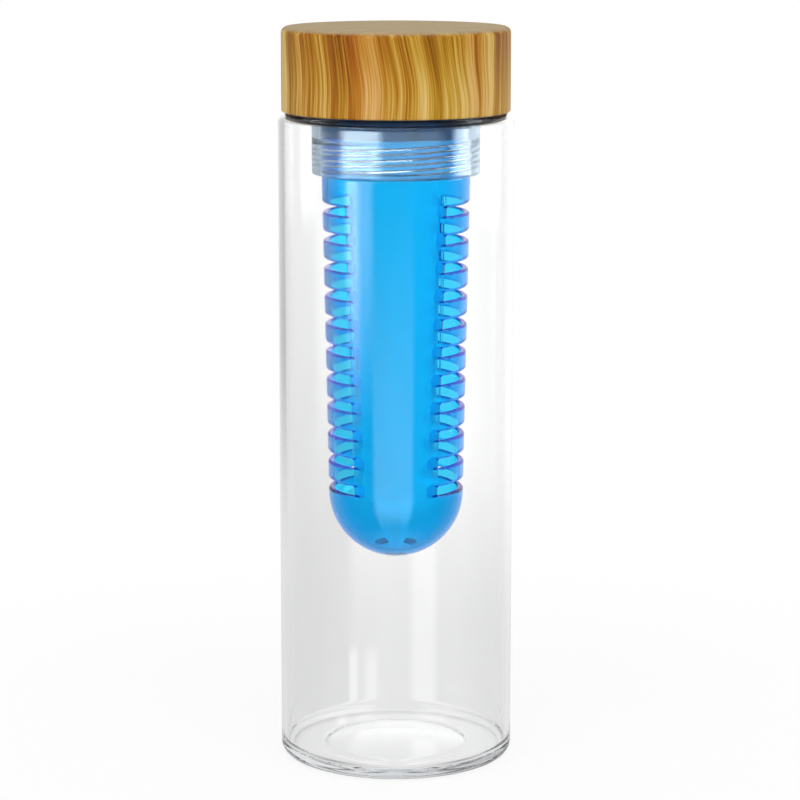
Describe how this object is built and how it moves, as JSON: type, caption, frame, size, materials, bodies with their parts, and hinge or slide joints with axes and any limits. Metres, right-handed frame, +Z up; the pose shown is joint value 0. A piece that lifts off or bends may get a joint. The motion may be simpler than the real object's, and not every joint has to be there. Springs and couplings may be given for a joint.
{
  "type": "fruit infuser water bottle",
  "caption": "Clear straight-walled drinking bottle with a wood-effect screw lid and a slotted, round-ended blue fruit basket that hangs from the lid inside it.",
  "frame": {"origin": "middle of the base, on the surface that the bottle stands on", "axes": "+Z up along the bottle's axis; +X and -X towards the slotted sides of the basket; -Y towards the front panel of the basket"},
  "size_m": [0.073, 0.073, 0.2295],
  "materials": {
    "clear_body": "clear polished copolyester",
    "wood_effect": "satin wood-effect transfer print on moulded plastic",
    "dark_liner": "fine satin dark moulded polypropylene",
    "silicone": "translucent white silicone",
    "clear_collar": "slightly milky clear moulded plastic",
    "blue_basket": "clear azure tinted moulded plastic"
  },
  "bodies": {
    "bottle": {"bottle_body": "clear_body"},
    "infuser": {"infuser_basket": "blue_basket"},
    "seal": {"mouth_gasket": "silicone"},
    "lid": {"lid_shell": "wood_effect", "lid_liner": "dark_liner", "infuser_collar": "clear_collar"}
  },
  "joints": [
    {"name": "infuser_lift", "type": "slide", "parent": "bottle", "child": "infuser", "axis": [0, 0, 1], "range_m": [0, 0.18]},
    {"name": "lid_rise", "type": "slide", "parent": "infuser", "child": "seal", "axis": [0, 0, 1], "range_m": [0, 0.00991]},
    {"name": "lid_turn", "type": "hinge", "parent": "seal", "child": "lid", "pos_m": [0, 0, 0.2035], "axis": [0, 0, 1], "range_deg": [0, 540]}
  ],
  "couplings": [
    {"joint": "lid_rise", "follows": "lid_turn", "m_per_rad": 0.0010504}
  ]
}
